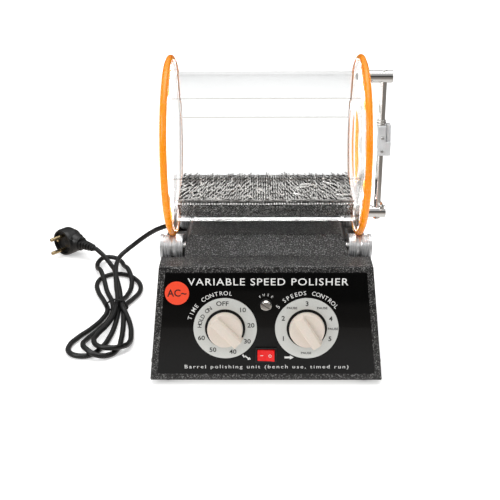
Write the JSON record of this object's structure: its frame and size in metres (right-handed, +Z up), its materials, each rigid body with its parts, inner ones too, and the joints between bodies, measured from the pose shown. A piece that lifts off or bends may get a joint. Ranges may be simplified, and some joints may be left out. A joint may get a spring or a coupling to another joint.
{
  "type": "rotary rock tumbler",
  "caption": "Motor-driven rotary tumbler: a clear hexagonal barrel with orange drive rings turns on grooved rollers above a sloped-side steel base with timer and speed controls.",
  "frame": {"origin": "middle of the footprint of the machine without its cord, on the surface that the feet stand on", "axes": "+X along the barrel axis towards the closure, +Y from the control panel towards the rear, +Z up"},
  "size_m": [0.4149, 0.3741, 0.3126],
  "materials": {
    "hammertone": "hammertone speckled dark grey enamel",
    "gloss_panel": "glossy black screen-printed panel",
    "plain_steel": "plain sheet and machined steel",
    "chrome": "bright chrome plate",
    "aluminium": "turned aluminium",
    "acrylic": "clear cast acrylic with bright cut edges",
    "orange_ring": "orange polyurethane",
    "rubber": "black rubber",
    "cord_rubber": "black PVC cord and moulded plug",
    "dial_silver": "satin silver dial plate with dark figures",
    "ivory": "ivory moulded plastic",
    "red_switch": "bright red rocker",
    "label": "orange-red paper label",
    "steel_pins": "small polished steel pins",
    "white_seal": "white silicone seal",
    "circuit": "green circuit board",
    "brass": "bright brass"
  },
  "bodies": {
    "base": {"base_cover": "hammertone", "bottom_plate": "plain_steel", "foot_front_left": "rubber", "foot_rear_left": "rubber", "foot_front_right": "rubber", "foot_rear_right": "rubber", "control_panel": "gloss_panel", "timer_dial": "dial_silver", "speed_dial": "dial_silver", "timer_mechanism": "plain_steel", "speed_switch": "plain_steel", "switch_housing": "rubber", "fuse_holder": "rubber", "voltage_label": "label", "side_frame_left": "plain_steel", "side_frame_right": "plain_steel", "bearing_front_left": "ivory", "bearing_rear_left": "ivory", "bearing_front_right": "ivory", "bearing_rear_right": "ivory", "motor": "plain_steel", "motor_cradle": "plain_steel", "control_board": "circuit", "drive_belt": "rubber", "cord_gland": "rubber", "cord_tube": "cord_rubber", "cord_hank": "cord_rubber", "cord_tie": "rubber", "plug_body": "cord_rubber", "plug_pin_upper": "brass", "plug_pin_lower": "brass", "plug_strain_relief": "cord_rubber"},
    "drum": {"barrel": "acrylic", "end_disc_left": "acrylic", "end_disc_right": "acrylic", "drive_ring_left": "orange_ring", "drive_ring_right": "orange_ring", "lid_seal": "white_seal", "lid": "acrylic", "lid_pressure_plate": "chrome", "latch_post": "chrome", "corner_pins": "steel_pins"},
    "front_roller_shaft": {"front_shaft": "chrome", "roller_front_left": "aluminium", "roller_front_right": "aluminium"},
    "rear_roller_shaft": {"rear_shaft": "chrome", "roller_rear_left": "aluminium", "roller_rear_right": "aluminium", "shaft_pulley": "aluminium"},
    "motor_rotor": {"motor_pulley": "brass"},
    "timer_control": {"timer_knob": "ivory"},
    "speed_control": {"speed_knob": "ivory"},
    "power_switch": {"rocker_button": "red_switch"},
    "fuse_closure": {"fuse_cap": "chrome"},
    "closure_arm": {"pivot_post": "chrome", "clamp_bar": "chrome", "clamp_block": "aluminium", "pressure_pin": "chrome"},
    "locking_lever": {"clamp_lever": "aluminium"},
    "media_load": {"polishing_media": "steel_pins"}
  },
  "joints": [
    {"name": "drum_spin", "type": "hinge", "parent": "base", "child": "drum", "pos_m": [-0.00475, -0.00215, 0.221], "axis": [1, 0, 0], "continuous": true},
    {"name": "front_shaft_spin", "type": "hinge", "parent": "base", "child": "front_roller_shaft", "pos_m": [-0.00475, -0.04265, 0.12749], "axis": [1, 0, 0], "continuous": true},
    {"name": "rear_shaft_spin", "type": "hinge", "parent": "base", "child": "rear_roller_shaft", "pos_m": [-0.00475, 0.03835, 0.12749], "axis": [1, 0, 0], "continuous": true},
    {"name": "motor_spin", "type": "hinge", "parent": "base", "child": "motor_rotor", "pos_m": [-0.07475, -0.03215, 0.04], "axis": [1, 0, 0], "continuous": true},
    {"name": "media_swing", "type": "hinge", "parent": "base", "child": "media_load", "pos_m": [-0.00475, -0.00215, 0.221], "axis": [1, 0, 0], "range_deg": [-35, 35]},
    {"name": "timer_turn", "type": "hinge", "parent": "base", "child": "timer_control", "pos_m": [-0.04525, -0.1004, 0.0618], "axis": [0, 0.99, -0.1412], "range_deg": [-196, 112]},
    {"name": "speed_turn", "type": "hinge", "parent": "base", "child": "speed_control", "pos_m": [0.03575, -0.1004, 0.0618], "axis": [0, 0.99, -0.1412], "range_deg": [-262, 34]},
    {"name": "rocker_tilt", "type": "hinge", "parent": "base", "child": "power_switch", "pos_m": [-0.00475, -0.10198, 0.03374], "axis": [0, 0.1412, 0.99], "range_deg": [0, 14]},
    {"name": "fuse_cap_turn", "type": "hinge", "parent": "base", "child": "fuse_closure", "pos_m": [-0.00475, -0.09489, 0.08627], "axis": [0, 0.99, -0.1412], "range_deg": [-90, 0]},
    {"name": "arm_swing", "type": "hinge", "parent": "drum", "child": "closure_arm", "pos_m": [0.10525, -0.00215, 0.292], "axis": [1, 0, 0], "range_deg": [0, 95]},
    {"name": "lever_tilt", "type": "hinge", "parent": "closure_arm", "child": "locking_lever", "pos_m": [0.11965, -0.00215, 0.223], "axis": [0, 1, 0], "range_deg": [0, 90]}
  ],
  "couplings": [
    {"joint": "front_shaft_spin", "follows": "drum_spin", "ratio": -9.16},
    {"joint": "rear_shaft_spin", "follows": "drum_spin", "ratio": -9.16},
    {"joint": "motor_spin", "follows": "drum_spin", "ratio": -13.609}
  ]
}
